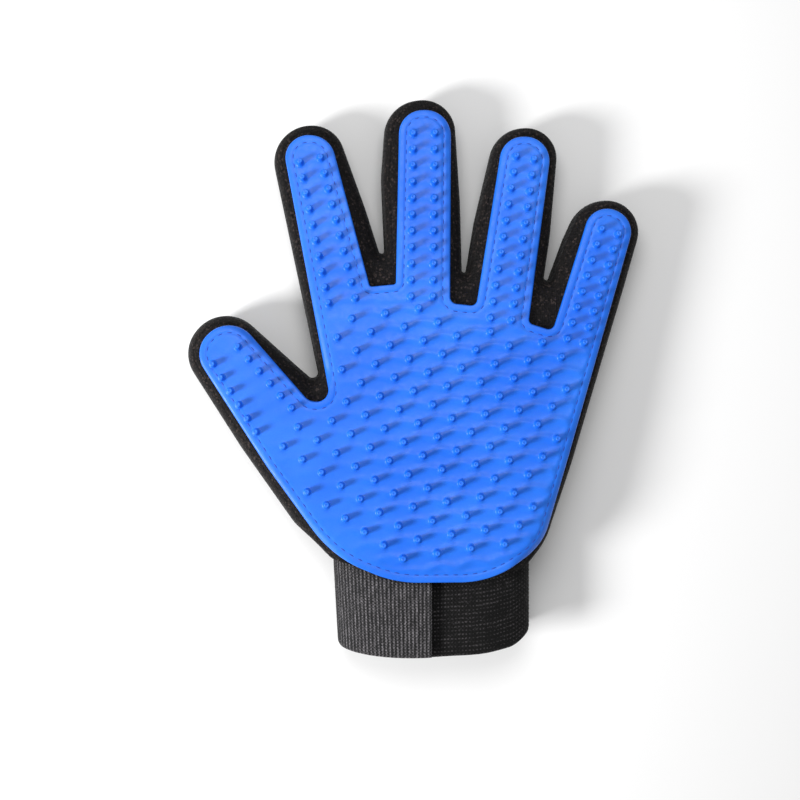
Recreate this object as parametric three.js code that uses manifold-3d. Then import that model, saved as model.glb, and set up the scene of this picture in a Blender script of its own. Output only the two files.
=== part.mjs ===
// A pet grooming glove lying on its back, palm up, in millimetres.
// +Y runs from the wrist to the middle fingertip, +X from the thumb to the little finger, and +Z up out of the
// palm. The origin is on the surface that the glove lies on, under the middle of the palm.
//
// Layers, from the bottom up: a mesh back that wraps up the sides to the seam, a knit palm fabric that closes the
// glove, and a silicone pad with nubs sewn on the palm. Each finger is divided at its base and at its middle
// joint, so that it can curl. Round the wrist are a lining, an elastic strap and a hook-and-loop tab.

import * as THREE from "three";
import { mergeVertices } from "three/addons/utils/BufferGeometryUtils.js";
import Module from "manifold-3d";

const wasm = await Module();
wasm.setup();

// ---- Driving dimensions ----

const PALM_THICKNESS = 28.4; // the pad's top face above the table, at the origin
const TAPER = -0.068; // how that height changes for each millimetre towards the fingertips
const PAD_THICKNESS = 1.6;
const PAD_CHAMFER = 0.5;
const FABRIC_THICKNESS = 1.2;
const MESH_THICKNESS = 1.6;
const LAYER_GAP = 0.3;
const EDGE_RADIUS = 5; // rounding of the filled glove's edges
const SEAM_DROP = 2; // the seam between fabric and mesh, below the fabric's top face
const ARC_STEP = THREE.MathUtils.degToRad(22);

const NUB_HEIGHT = 3.6;
const NUB_BASE_RADIUS = 1.4;
const NUB_TIP_RADIUS = 1.05;
const NUB_SIDES = 5;
const NUB_EDGE_MARGIN = 5.6;
const NUB_CLEARANCE = 5.2; // between a palm nub and the nearest finger nub
const FINGER_REACH = 20; // how far to each side of its columns a finger keeps the palm's nubs away

// The palm's nubs: staggered rows that tilt and bend a little. pitch is along a row, and start is one nub's place.
const LATTICE = { start: [5, -20.7], pitch: 14.25, spacing: 6.83, tilt: THREE.MathUtils.degToRad(8), bend: 1240 };

// The strap's oval, seen along the wrist, and its place along the wrist. It leans: its palm side lies further
// from the fingers than its back.
const STRAP = { left: -40.5, right: 43.4, bottom: -2.8, top: 29.6, corner: 15, start: -58.1, width: 39.2, lean: 0.2 };
const TAB_THICKNESS = 1.2;
const HOOK_THICKNESS = 0.7;
const LOOP_THICKNESS = 0.6;
const ELASTIC_THICKNESS = 1.6;
const LINING_THICKNESS = 1;
const STRAP_GAP = 0.15;
const TAB_HINGE_HEIGHT = 13;
const TAB_FREE_END = 0.8; // its X
const TAB_ROOT_HEIGHT = 3; // the lowest point of the part of the tab that is sewn down
const ELASTIC_END = -29; // X of the elastic's end, under the tab
const PATCH_MARGIN = 2;
const LINING_REACH = 6; // how far the lining runs into the hand
const HEEL_GAP = 0.5; // between the pad's heel and the tab
const WRIST_GAP = 0.8; // between the glove and the tab, whose slanting end comes closer as it swings up

// Corners of the glove's outline, as [x, y, radius], clockwise from the wrist on the thumb side.
const GLOVE_OUTLINE = [
  [-40.5, -92, 9], [-40.5, -64, 6], // wrist
  [-57.5, -44, 25], [-80, -12, 84], [-106.5, 29.5, 15.5], [-88, 51.5, 16], [-58, 24.5, 25], // thumb
  [-46, 14, 2.3], [-70.5, 126.5, 16], [-40, 127, 14], [-27, 91, 50], // index finger
  [-18.5, 64.5, 1.1], [-20.2, 103.5, 50], [-18, 136, 16], [11, 140, 14], [14, 94, 50], // middle finger
  [15, 55, 0.9], [20, 85, 63], [29.5, 125, 15.5], [57.5, 128, 13.3], [53, 79, 63], // ring finger
  [48.8, 51, 1.1], [58.8, 78, 34], [66.2, 94.5, 17], [96.5, 96, 13.8], [84.5, 55, 126], // little finger
  [62, -19, 126], [51, -51, 28], [41.5, -62, 4], [40.5, -92, 9], // heel and wrist
];

// Corners of the silicone pad, in the same order, from the heel.
const PAD_OUTLINE = [
  [-41, -57, 50], [-68, -20, 84], // heel
  [-99.8, 29.2, 11.3], [-84, 45.5, 12], // thumb
  [-51, 8, 5.4], [-41.5, 7, 4.9], [-63.2, 122.5, 9.8], [-42, 120.3, 10.6], // index finger
  [-25.2, 56.3, 1.2], [-14.1, 57.4, 1.2], [-12.4, 132.3, 10.4], [9.8, 132.6, 10.8], // middle finger
  [8.8, 49.4, 3], [20, 48.2, 2.8], [32.2, 121.3, 10], [53.5, 121.3, 10.4], // ring finger
  [42.1, 41, 2.2], [52.5, 37.7, 3], [71.1, 95, 9.6], [88.5, 85, 9.8], // little finger
  [46.6, -52.5, 21], [26, -66, 35], [-14.5, -67.2, 32], // heel
];

// base: the line across the finger's base, above both of its webs, from the thumb's side. middle: how far along the
// finger its middle joint is. spread: how the area that holds the finger widens on each side. nubs: the first and
// last nub of each of the finger's two columns, from the tip.
const FINGERS = [
  { name: "thumb", base: [[-89.5, -5.4], [-52, 22.9]], middle: 13.5, spread: [2, 16], rows: 6,
    nubs: [[[-90.8, 23.4], [-72.7, -5]], [[-80.5, 30.6], [-58, 5.1]]] },
  { name: "index", base: [[-64.5, 68], [-21.1, 78.4]], middle: 20.4, spread: [12, 12], rows: 10,
    nubs: [[[-54.7, 109], [-42.5, 49]], [[-46, 111], [-31.3, 51.3]]] },
  { name: "middle", base: [[-20.4, 76.5], [16.4, 76.5]], middle: 21, spread: [3, 1], rows: 11,
    nubs: [[[-6.5, 122], [-7.9, 52]], [[2.6, 122], [1.5, 52]]] },
  { name: "ring", base: [[16, 69.5], [52.2, 63.9]], middle: 21, spread: [0, 8], rows: 11,
    nubs: [[[37.3, 112.3], [25.8, 43]], [[45, 111], [34.7, 42]]] },
  { name: "little", base: [[51.6, 62.5], [87.8, 51]], middle: 14, spread: [0, 12], rows: 8,
    nubs: [[[73.6, 81.2], [58.4, 34.4]], [[80.6, 79], [65.5, 32.6]]] },
];

const LOOKS = {
  silicone: { color: 0x3f86fa, roughness: 0.45, metalness: 0 },
  knit: { color: 0x1d1b1b, roughness: 0.95, metalness: 0 },
  mesh: { color: 0x252323, roughness: 0.95, metalness: 0 },
  lining: { color: 0x1a1919, roughness: 0.95, metalness: 0 },
  elastic: { color: 0x201f20, roughness: 0.9, metalness: 0 },
  tab: { color: 0x5c5a5d, roughness: 0.9, metalness: 0 },
  hooks: { color: 0x3a393b, roughness: 0.8, metalness: 0 },
};

const padTop = (y) => PALM_THICKNESS + TAPER * y;
const padUnder = (y) => padTop(y) - PAD_THICKNESS;
const fabricTop = (y) => padUnder(y) - LAYER_GAP;

// ---- Solids ----

function toSolid(geometry) {
  const bare = new THREE.BufferGeometry().setAttribute("position", geometry.getAttribute("position"));
  if (geometry.index) bare.setIndex(geometry.index);
  const merged = mergeVertices(bare, 1e-4);
  const vertProperties = new Float32Array(merged.attributes.position.array);
  const triVerts = new Uint32Array(merged.index.array);
  return new wasm.Manifold(new wasm.Mesh({ numProp: 3, vertProperties, triVerts }));
}

function toGeometry(solid) {
  const mesh = solid.getMesh();
  const geometry = new THREE.BufferGeometry();
  geometry.setAttribute("position", new THREE.BufferAttribute(mesh.vertProperties, 3));
  return geometry.setIndex(new THREE.BufferAttribute(mesh.triVerts, 1));
}

// An outline's points with its corners rounded, anticlockwise, each with its outward normal.
function roundedOutline(corners) {
  const origin = new THREE.Vector2();
  const points = corners.flatMap(([x, y, radius], i) => {
    const corner = new THREE.Vector2(x, y);
    const back = new THREE.Vector2(...corners.at(i - 1)).sub(corner).normalize();
    const ahead = new THREE.Vector2(...corners[(i + 1) % corners.length]).sub(corner).normalize();
    const half = Math.acos(back.dot(ahead)) / 2;
    const turn = Math.sign(back.cross(ahead)); // 1 where the outline bulges
    const centre = back.clone().add(ahead).setLength(radius / Math.sin(half)).add(corner);
    const start = back.clone().setLength(radius / Math.tan(half)).add(corner).sub(centre);
    const sweep = -turn * (Math.PI - 2 * half);
    const steps = Math.ceil(Math.abs(sweep) / ARC_STEP);
    return Array.from({ length: steps + 1 }, (_, k) => {
      const arm = start.clone().rotateAround(origin, (sweep * k) / steps);
      return { at: arm.clone().add(centre), normal: arm.setLength(turn) };
    });
  });
  return points.reverse();
}

const insetRing = (outline, inset, height) =>
  outline.map(({ at, normal }) => {
    const x = at.x - normal.x * inset;
    const y = at.y - normal.y * inset;
    return [x, y, height(y)];
  });

// A closed solid skinned over rings with the same number of points, from the bottom up.
function skin(rings) {
  const count = rings[0].length;
  const top = (rings.length - 1) * count;
  const lid = (ring) => THREE.ShapeUtils.triangulateShape(ring.map(([x, y]) => new THREE.Vector2(x, y)), []);
  const index = [];
  for (const [a, b, c] of lid(rings[0])) index.push(a, c, b);
  for (const [a, b, c] of lid(rings.at(-1))) index.push(top + a, top + b, top + c);
  for (let low = 0; low < top; low += count)
    for (let i = 0; i < count; i++) {
      const j = (i + 1) % count;
      index.push(low + i, low + j, low + count + j, low + i, low + count + j, low + count + i);
    }
  const geometry = new THREE.BufferGeometry();
  geometry.setAttribute("position", new THREE.Float32BufferAttribute(rings.flat(2), 3));
  return toSolid(geometry.setIndex(index));
}

// An upright prism that cuts through every layer.
function prism(corners) {
  const height = 200;
  const geometry = new THREE.ExtrudeGeometry(new THREE.Shape(corners), { depth: height, bevelEnabled: false });
  return toSolid(geometry.translate(0, 0, -height / 2));
}

// ---- The cuts across the fingers ----

function fingerFrame({ base }) {
  const [left, right] = base.map((p) => new THREE.Vector2(...p));
  const across = right.clone().sub(left).normalize();
  return { left, right, across, along: new THREE.Vector2(-across.y, across.x) };
}

// The area beyond a finger's base line, moved along the finger by shift.
function fingerArea(finger, shift) {
  const { left, right, across, along } = fingerFrame(finger);
  const reach = 90;
  return prism([
    left.clone().addScaledVector(along, shift),
    right.clone().addScaledVector(along, shift),
    right.clone().addScaledVector(along, reach).addScaledVector(across, finger.spread[1]),
    left.clone().addScaledVector(along, reach).addScaledVector(across, -finger.spread[0]),
  ]);
}

// Cuts a layer into the palm's part and each finger's base and tip.
function cutByJoints(layer) {
  const half = LAYER_GAP / 2;
  const parts = { palm: layer };
  for (const finger of FINGERS) {
    const { left, along } = fingerFrame(finger);
    const whole = layer.intersect(fingerArea(finger, half));
    const joint = along.dot(left) + finger.middle;
    parts.palm = parts.palm.subtract(fingerArea(finger, -half));
    parts[`${finger.name}_base`] = whole.trimByPlane([-along.x, -along.y, 0], half - joint);
    parts[`${finger.name}_tip`] = whole.trimByPlane([along.x, along.y, 0], joint + half);
  }
  return parts;
}

// ---- Mesh back and palm fabric ----

// The filled glove's shape between two heights, inset from its outline, with rounded edges.
function filledShape(inset, radius, bottom, top) {
  const outline = roundedOutline(GLOVE_OUTLINE);
  const quarter = [90, 45, 0].map(THREE.MathUtils.degToRad);
  const ring = (angle, height) => insetRing(outline, inset + radius * (1 - Math.cos(angle)), height);
  const low = quarter.map((a) => ring(a, () => bottom + radius * (1 - Math.sin(a))));
  const high = quarter.toReversed().map((a) => ring(a, (y) => top(y) - radius * (1 - Math.sin(a))));
  return skin([...low, ...high]);
}

const cavity = () =>
  filledShape(MESH_THICKNESS, EDGE_RADIUS - MESH_THICKNESS, MESH_THICKNESS, (y) => fabricTop(y) - FABRIC_THICKNESS);

// The area of the pad, grown by margin.
const padArea = (margin) =>
  prism(insetRing(roundedOutline(PAD_OUTLINE), -margin, () => 0).map(([x, y]) => new THREE.Vector2(x, y)));

function gloveShell() {
  const { start, top, bottom, lean } = STRAP;
  const shell = filledShape(0, EDGE_RADIUS, 0, fabricTop).subtract(cavity());
  const half = LAYER_GAP / 2;
  const slope = Math.hypot(1, TAPER);
  const seam = fabricTop(0) - SEAM_DROP;
  const wristEnd = (start + (lean * (top + bottom)) / 2 + WRIST_GAP) / Math.hypot(1, lean);
  const fabric = shell.trimByPlane([0, -TAPER, 1], (seam + half) / slope);
  const back = shell.trimByPlane([0, TAPER, -1], (half - seam) / slope);
  const leaning = [0, 1, lean];
  return {
    fabric: fabric.trimByPlane(leaning, wristEnd).add(fabric.intersect(padArea(0))), // it backs the pad's heel
    back: back.trimByPlane(leaning, wristEnd),
  };
}

// ---- Silicone pad ----

function distanceInside(outline, point) {
  let nearest = Infinity;
  let inside = false;
  outline.forEach(({ at: a }, i) => {
    const b = outline[(i + 1) % outline.length].at;
    const edge = b.clone().sub(a);
    const t = THREE.MathUtils.clamp(point.clone().sub(a).dot(edge) / edge.lengthSq(), 0, 1);
    nearest = Math.min(nearest, point.distanceTo(a.clone().addScaledVector(edge, t)));
    const level = a.y > point.y !== b.y > point.y;
    if (level && point.x < a.x + ((point.y - a.y) / edge.y) * edge.x) inside = !inside;
  });
  return inside ? nearest : -nearest;
}

const fingerNubs = ({ nubs, rows }) =>
  nubs.flatMap(([first, last]) =>
    Array.from({ length: rows }, (_, i) =>
      new THREE.Vector2(...first).lerp(new THREE.Vector2(...last), i / (rows - 1))));

// Whether a spot is beyond the last nubs of a finger.
function onFinger(spot, { nubs, base }) {
  const { across, along } = fingerFrame({ base });
  const [a, b] = nubs.map(([, last]) => new THREE.Vector2(...last));
  const from = spot.clone().sub(a.lerp(b, 0.5));
  return from.dot(along) > 0 && Math.abs(from.dot(across)) < FINGER_REACH;
}

// The lattice's nubs that are clear of the pad's edge and of the fingers.
function palmNubs(outline, taken) {
  const { start, pitch, spacing, tilt, bend } = LATTICE;
  const spots = [];
  const reach = 20;
  for (let row = -reach; row <= reach; row++)
    for (let k = -reach; k <= reach; k++) {
      const run = (k + (row % 2 ? 0.5 : 0)) * pitch;
      const spot = new THREE.Vector2(run, row * spacing).rotateAround(new THREE.Vector2(), tilt)
        .add(new THREE.Vector2(start[0], start[1] - run ** 2 / (2 * bend)));
      const room = distanceInside(outline, spot) > NUB_EDGE_MARGIN && !FINGERS.some((f) => onFinger(spot, f));
      if (room && taken.every((t) => t.distanceTo(spot) > NUB_CLEARANCE)) spots.push(spot);
    }
  return spots;
}

function nub(spot) {
  const sunk = 0.6;
  const geometry = new THREE.CylinderGeometry(NUB_TIP_RADIUS, NUB_BASE_RADIUS, NUB_HEIGHT + sunk, NUB_SIDES);
  geometry.rotateX(Math.PI / 2);
  return toSolid(geometry.translate(spot.x, spot.y, padTop(spot.y) + (NUB_HEIGHT - sunk) / 2));
}

function siliconePad() {
  const outline = roundedOutline(PAD_OUTLINE);
  const sheet = skin([
    insetRing(outline, 0, padUnder),
    insetRing(outline, 0, (y) => padTop(y) - PAD_CHAMFER),
    insetRing(outline, PAD_CHAMFER, padTop),
  ]);
  const onFingers = FINGERS.flatMap(fingerNubs);
  const spots = [...onFingers, ...palmNubs(outline, onFingers)];
  return sheet.add(wasm.Manifold.union(spots.map(nub)));
}

// ---- Wrist: tab, hook and loop patches, elastic and lining ----

// A sleeve round the wrist between two depths under the strap's oval, from one distance to another along it.
function sleeve(depth, thickness, from, to) {
  const { left, right, bottom, top, corner, start, lean } = STRAP;
  const oval = (inset) => {
    const [x0, x1, z0, z1] = [left + inset, right - inset, bottom + inset, top - inset];
    const r = corner - inset;
    const steps = 6;
    const turn = (cx, cz, begin) =>
      Array.from({ length: steps + 1 }, (_, k) => {
        const a = begin + (k / steps) * (Math.PI / 2);
        return new THREE.Vector2(cx + r * Math.cos(a), cz + r * Math.sin(a));
      });
    return [
      ...turn(x1 - r, z0 + r, -Math.PI / 2), ...turn(x1 - r, z1 - r, 0),
      ...turn(x0 + r, z1 - r, Math.PI / 2), ...turn(x0 + r, z0 + r, Math.PI),
    ];
  };
  const shape = new THREE.Shape(oval(depth));
  shape.holes.push(new THREE.Path(oval(depth + thickness)));
  const geometry = new THREE.ExtrudeGeometry(shape, { depth: to - from, bevelEnabled: false });
  const shear = new THREE.Matrix4().makeShear(0, 0, 0, 0, 0, -lean);
  geometry.rotateX(Math.PI / 2).translate(0, start - from, -(top + bottom) / 2);
  return toSolid(geometry.applyMatrix4(shear).translate(0, 0, (top + bottom) / 2));
}

function block(x0, x1, z0, z1) {
  const length = 400;
  const geometry = new THREE.BoxGeometry(x1 - x0, length, z1 - z0);
  return toSolid(geometry.translate((x0 + x1) / 2, 0, (z0 + z1) / 2));
}

function wristParts() {
  const far = 200;
  const { width } = STRAP;
  const half = LAYER_GAP / 2;
  const hookDepth = TAB_THICKNESS + STRAP_GAP;
  const loopDepth = hookDepth + HOOK_THICKNESS + STRAP_GAP;
  const elasticDepth = loopDepth + LOOP_THICKNESS + STRAP_GAP;
  const liningDepth = elasticDepth + ELASTIC_THICKNESS + LAYER_GAP;
  const outer = sleeve(0, TAB_THICKNESS, 0, width);
  const heel = padArea(HEEL_GAP);
  const patch = block(ELASTIC_END + PATCH_MARGIN, TAB_FREE_END - PATCH_MARGIN, TAB_HINGE_HEIGHT, far);
  const [patchFrom, patchTo] = [PATCH_MARGIN, width - PATCH_MARGIN];
  return {
    tab: outer.intersect(block(-far, TAB_FREE_END, TAB_HINGE_HEIGHT + half, far)).subtract(heel),
    tab_root: outer.intersect(block(-far, 0, TAB_ROOT_HEIGHT, TAB_HINGE_HEIGHT - half)),
    hook_patch: sleeve(hookDepth, HOOK_THICKNESS, patchFrom, patchTo).intersect(patch).subtract(heel),
    loop_patch: sleeve(loopDepth, LOOP_THICKNESS, patchFrom, patchTo).intersect(patch),
    elastic_strap: sleeve(elasticDepth, ELASTIC_THICKNESS, 0, width)
      .subtract(block(-far, ELASTIC_END, TAB_HINGE_HEIGHT - half, far)),
    wrist_lining: sleeve(liningDepth, LINING_THICKNESS, -LINING_REACH, width - PATCH_MARGIN),
  };
}

// ---- Assembly ----

const glove = new THREE.Group();

function place(name, solid, look) {
  const piece = new THREE.Mesh(toGeometry(solid), new THREE.MeshStandardMaterial(LOOKS[look]));
  piece.name = name;
  glove.add(piece);
}

function placeLayer(name, layer, look) {
  for (const [part, solid] of Object.entries(cutByJoints(layer))) place(`${name}_${part}`, solid, look);
}

const { fabric, back } = gloveShell();
placeLayer("mesh_back", back, "mesh");
placeLayer("palm_fabric", fabric, "knit");
placeLayer("silicone_pad", siliconePad(), "silicone");

const wrist = wristParts();
place("strap_tab", wrist.tab, "tab");
place("strap_tab_root", wrist.tab_root, "tab");
place("hook_patch", wrist.hook_patch, "hooks");
place("loop_patch", wrist.loop_patch, "tab");
place("elastic_strap", wrist.elastic_strap, "elastic");
place("wrist_lining", wrist.wrist_lining, "lining");

export default glove;
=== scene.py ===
# A pet grooming glove lying on its back, palm up, made around the imported CAD frame.
#
# The glove's layers are triangulated flat, seen from above, and then lifted onto their curved surfaces: the
# silicone pad with its nubs and ripples, the knit palm fabric, and the mesh back, which wraps up the sides
# to the seam. Each layer is divided where the CAD bodies meet. The wrist's parts are bands round one oval.
# Sizes are in millimetres unless metres are named.

import math
import random

import bmesh
import bpy
import numpy as np
from mathutils import Matrix, Vector
from mathutils.geometry import delaunay_2d_cdt
from mathutils.kdtree import KDTree


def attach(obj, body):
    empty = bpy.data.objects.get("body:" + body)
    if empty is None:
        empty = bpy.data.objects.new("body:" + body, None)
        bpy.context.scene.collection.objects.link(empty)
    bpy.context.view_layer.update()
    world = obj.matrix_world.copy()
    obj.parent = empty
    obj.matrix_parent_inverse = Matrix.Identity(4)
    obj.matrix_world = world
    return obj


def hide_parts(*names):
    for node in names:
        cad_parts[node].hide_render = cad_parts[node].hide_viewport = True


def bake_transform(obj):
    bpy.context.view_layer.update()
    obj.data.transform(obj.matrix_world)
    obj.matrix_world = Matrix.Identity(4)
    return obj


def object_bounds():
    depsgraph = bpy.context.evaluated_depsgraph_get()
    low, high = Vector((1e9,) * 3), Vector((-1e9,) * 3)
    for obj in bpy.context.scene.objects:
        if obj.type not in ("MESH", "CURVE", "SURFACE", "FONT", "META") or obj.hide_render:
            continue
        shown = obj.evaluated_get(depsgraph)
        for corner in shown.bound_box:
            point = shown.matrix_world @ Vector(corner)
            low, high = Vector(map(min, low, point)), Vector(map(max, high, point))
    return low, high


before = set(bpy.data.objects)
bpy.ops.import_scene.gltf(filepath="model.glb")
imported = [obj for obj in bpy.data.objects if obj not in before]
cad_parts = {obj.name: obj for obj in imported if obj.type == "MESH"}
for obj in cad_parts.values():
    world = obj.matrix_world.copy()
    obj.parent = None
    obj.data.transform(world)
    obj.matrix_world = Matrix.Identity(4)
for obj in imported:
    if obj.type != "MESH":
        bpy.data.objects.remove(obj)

cad_box = [list(corner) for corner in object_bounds()]
MM = 0.001

# ---- Driving dimensions ----
# The layers and outlines are the CAD's, with a rounder heel on the pad. The strap is a little rounder and
# narrower than the CAD's, and its edges are bowed.

PALM_THICKNESS = 28.4  # the pad's top above the table, at the origin
TAPER = -0.068  # how that height changes for each millimetre towards the fingertips
PAD_THICKNESS = 1.6
FABRIC_THICKNESS = 1.2
MESH_THICKNESS = 1.6
LAYER_GAP = 0.3

NUB_EDGE_MARGIN = 5.6
NUB_CLEARANCE = 5.2  # between a nub of the palm's lattice and the fingers' nubs
NUB_LOWEST = -58.5  # the heel below is plain
FINGER_REACH = 20  # how far a finger's own rows and ripples reach on each side of it
LATTICE = {"start": (5, -20.7), "pitch": 14.25, "spacing": 6.83, "tilt": math.radians(8), "bend": 1240}

STRAP = {"left": -40.5, "right": 43.4, "bottom": -2.8, "top": 29.6}
STRAP_MIDDLE = (STRAP["top"] + STRAP["bottom"]) / 2
OVAL_POWER = 2.5  # of the superellipse that the strap follows
STRAP_START = -60.4
STRAP_WIDTH = 36.2
STRAP_LEAN = 0.2  # how far it moves towards the arm for each millimetre up
STRAP_BOW = (0.04, 0.0018)  # how its arm end rises towards the sides: per mm and per square mm of X
STRAP_CORNER = 3.0  # how much further the arm end rises at the little finger's side
STRAP_CORNER_X = (34, 46)  # where that rise begins and ends
STRAP_RISE = 4.0  # how far its start has run up the glove at the thumb's side
STRAP_RISE_X = -40  # where it has
STRAP_TAPER = 0.05  # how its thumb side draws in towards the arm
TAB_THICKNESS = 1.2
HOOK_THICKNESS = 0.7
LOOP_THICKNESS = 0.6
ELASTIC_THICKNESS = 1.6
ELASTIC_DEPTH = 0.3  # below the oval, where the tab doesn't cover the elastic
ELASTIC_OUT_X = (6, 26)  # where it comes out from the tab's underside to that depth
ELASTIC_OUT_Z = (4, 12)  # and where it does so on its way up the side
ELASTIC_BULGE = 0.6  # how far it stands out past that at the little finger's side
ELASTIC_BULGE_X = (30, 42)
LINING_THICKNESS = 1.0
STRAP_GAP = 0.15
TAB_HINGE_HEIGHT = 13
TAB_FREE_END = 0.8  # X of the tab's free edge
TAB_ROOT_HEIGHT = 3
ELASTIC_END = -29  # X of the elastic's end under the tab
ELASTIC_NARROWER = 0.9  # than the tab, at the arm end
TAB_RIB = 0.12
TAB_FINE_RIB = 0.05
TAB_RIB_PITCH = 1.7
ELASTIC_ROW = 0.14
ELASTIC_ROW_PITCH = 1.7
ELASTIC_GATHER = 0.05
ELASTIC_SUNK = 0.1  # of its rows, so that they stay below the loop tape
PATCH_MARGIN = 2  # of the hook and loop tapes, inside the strap's edges
LINING_REACH = 6  # of the lining, up into the glove
HEEL_Y = -45  # below which the pad's edge is its heel
HEEL_GAP = 0.5  # between the tab and the pad's heel
HEEL_INSET = 0.8  # of the fabric under the heel, inside the pad's edge

# Corners as (x, y, radius), clockwise from the wrist on the thumb side.
GLOVE_CORNERS = [
    (-40.5, -92, 9), (-40.5, -64, 6),  # wrist
    (-57.5, -44, 25), (-80, -12, 84), (-106.5, 29.5, 15.5), (-88, 51.5, 16), (-58, 24.5, 25),  # thumb
    (-46, 14, 2.3), (-69.7, 126, 16), (-40, 127, 14), (-27, 91, 50),  # index finger
    (-18.5, 64.5, 1.1), (-20.2, 103.5, 50), (-18, 136, 16), (11, 140, 14), (14, 94, 50),  # middle finger
    (15, 55, 0.9), (20, 85, 63), (29.5, 125, 15.5), (57.5, 128, 13.3), (53, 79, 63),  # ring finger
    (48.8, 51, 1.1), (58.8, 78, 34), (66.2, 94.5, 17), (96.5, 96, 13.8), (84.5, 55, 126),  # little finger
    (62, -19, 126), (51, -51, 28), (41.5, -62, 4), (40.5, -92, 9),  # heel and wrist
]
PAD_CORNERS = [
    (-41, -57, 50), (-68, -20, 84),  # heel
    (-99.8, 29.2, 11.3), (-84, 45.5, 12),  # thumb
    (-51, 8, 5.4), (-41.5, 7, 4.9), (-63.2, 122.5, 9.8), (-42, 120.3, 10.6),  # index finger
    (-25.2, 56.3, 1.2), (-14.1, 57.4, 1.2), (-12.4, 132.3, 10.4), (9.8, 132.6, 10.8),  # middle finger
    (8.8, 49.4, 3), (20, 48.2, 2.8), (32.2, 121.3, 10), (53.5, 121.3, 10.4),  # ring finger
    (42.1, 41, 2.2), (52.5, 37.7, 3), (71.1, 95, 9.6), (88.5, 85, 9.8),  # little finger
    (47.6, -53.6, 24), (24.2, -67.8, 42), (-14.5, -67.9, 50),  # heel
]

# base: the line across the finger's base. middle: how far along the finger its middle joint is. spread: how
# the area that holds the finger widens on each side. nubs: each column's first and last nub, from the tip.
FINGERS = [
    {"name": "thumb", "base": [(-89.5, -5.4), (-52, 22.9)], "middle": 13.5, "spread": (2, 16), "rows": 6,
     "nubs": [[(-90.8, 23.4), (-72.7, -5)], [(-80.5, 30.6), (-58, 5.1)]]},
    {"name": "index", "base": [(-64.5, 68), (-21.1, 78.4)], "middle": 20.4, "spread": (12, 12), "rows": 10,
     "nubs": [[(-54.7, 109), (-42.5, 49)], [(-46, 111), (-31.3, 51.3)]]},
    {"name": "middle", "base": [(-20.4, 76.5), (16.4, 76.5)], "middle": 21, "spread": (3, 1), "rows": 11,
     "nubs": [[(-6.5, 122), (-7.9, 52)], [(2.6, 122), (1.5, 52)]]},
    {"name": "ring", "base": [(16, 69.5), (52.2, 63.9)], "middle": 21, "spread": (0, 8), "rows": 11,
     "nubs": [[(37.3, 112.3), (25.8, 43)], [(45, 111), (34.7, 42)]]},
    {"name": "little", "base": [(51.6, 62.5), (87.8, 51)], "middle": 14, "spread": (0, 12), "rows": 8,
     "nubs": [[(73.6, 81.2), (58.4, 34.4)], [(80.6, 79), (65.5, 32.6)]]},
]
FINGER_LENGTH = 90  # over which the area that holds a finger widens by its spread

# ---- Shapes of the surfaces ----

OUTLINE_SPACING = 1.3
ARC_STEP = math.radians(11)

SIDE_HEIGHT = 11.5  # where the glove is widest
TOP_REACH = 10.0  # how far in from the silhouette the palm side stops falling away
TOP_POWER = 2.5
BOTTOM_REACH = 9.5
BOTTOM_POWER = 2.2
SEAM_INSET = 1.3  # the seam between fabric and mesh, inside the silhouette
SEAM_GROOVE = 0.5
SEAM_GROOVE_REACH = 1.1
CREASE_INSET = 3.7  # the stitched-down line beside the seam
CREASE = 0.45
CREASE_REACH = 0.45
BAND = 0.6  # width, in the flat triangulation, of the mesh between silhouette and seam

WRIST_CUT = STRAP_START + 0.5  # the end of the glove's fabrics, before they lean as the strap does
LEAN_START = -42  # where the lean begins

RIM_RADIUS = 0.55  # rounding of the pad's edge
RIM_SHARE = 0.6  # of the pad's thickness, below the rounding
STITCH_INSET = 3.2
STITCH_GROOVE = 0.22
STITCH_GROOVE_REACH = 0.5
RIM_RISE = 0.06  # of the band between the edge and the stitches
RIM_RISE_END = (3.1, 2.2)  # insets where the band is level with the pad and where it has its full height
RIPPLE_INSET = (3.6, 6.0)  # where the ripples fade in
RIPPLE = 0.75
RIPPLE_POWER = 1.8  # above 1, the ridges are narrower than the hollows
RIPPLE_MEAN = 0.4  # of a ridge's height, taken off so that the ripples keep the pad's level
RIPPLE_ARCH = 0.95
TIGHT_SIDE_X = (-48, 12)  # from the thumb's side, where the pad is drawn tight, to full ripples
TIGHT_SHARE = 0.1  # of the ripples that are left there
FINGER_RIPPLE = 0.36
FINGER_RIPPLE_ARCH = 0.8
FINGER_RIPPLE_FADE = 3  # over which a finger's ripples give way to the palm's, beside it
THUMB_RIPPLE = 0.08

NUB_SIDES = 14
NUB_TURNS = [2 * math.pi * k / NUB_SIDES for k in range(NUB_SIDES)]
NUB_FOOT = 2.0
# The nub's profile, from its foot up: radius and height.
NUB_PROFILE = [
    (1.66, 0.09), (1.47, 0.32), (1.37, 0.75), (1.3, 1.6), (1.23, 2.5), (1.19, 3.15), (1.09, 3.5),
    (0.87, 3.68), (0.62, 3.7), (0.4, 3.6),
]
NUB_TIP = 3.54  # height of the bottom of the dimple in its tip
NUB_LEAN = 0.03  # how unevenly the nubs stand and how unevenly tall they are
NUB_UNEVEN = 0.02

STITCH_LENGTH = 2.9
STITCH_PITCH = 4.1
STITCH_RADIUS = 0.22
STITCH_SUNK = 0.24  # of its ends, below the pad's face
STITCH_ARCH = 0.3  # how far its middle rises above its ends


def fabric_top(y):
    return PALM_THICKNESS + TAPER * y - PAD_THICKNESS - LAYER_GAP


def unit(vectors):
    return vectors / np.maximum(np.linalg.norm(vectors, axis=-1, keepdims=True), 1e-12)


def fade(value, start, end):
    """Goes smoothly from 0 at start to 1 at end, which may be the smaller of the two."""
    t = np.clip((value - start) / (end - start), 0, 1)
    return t * t * (3 - 2 * t)


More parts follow.
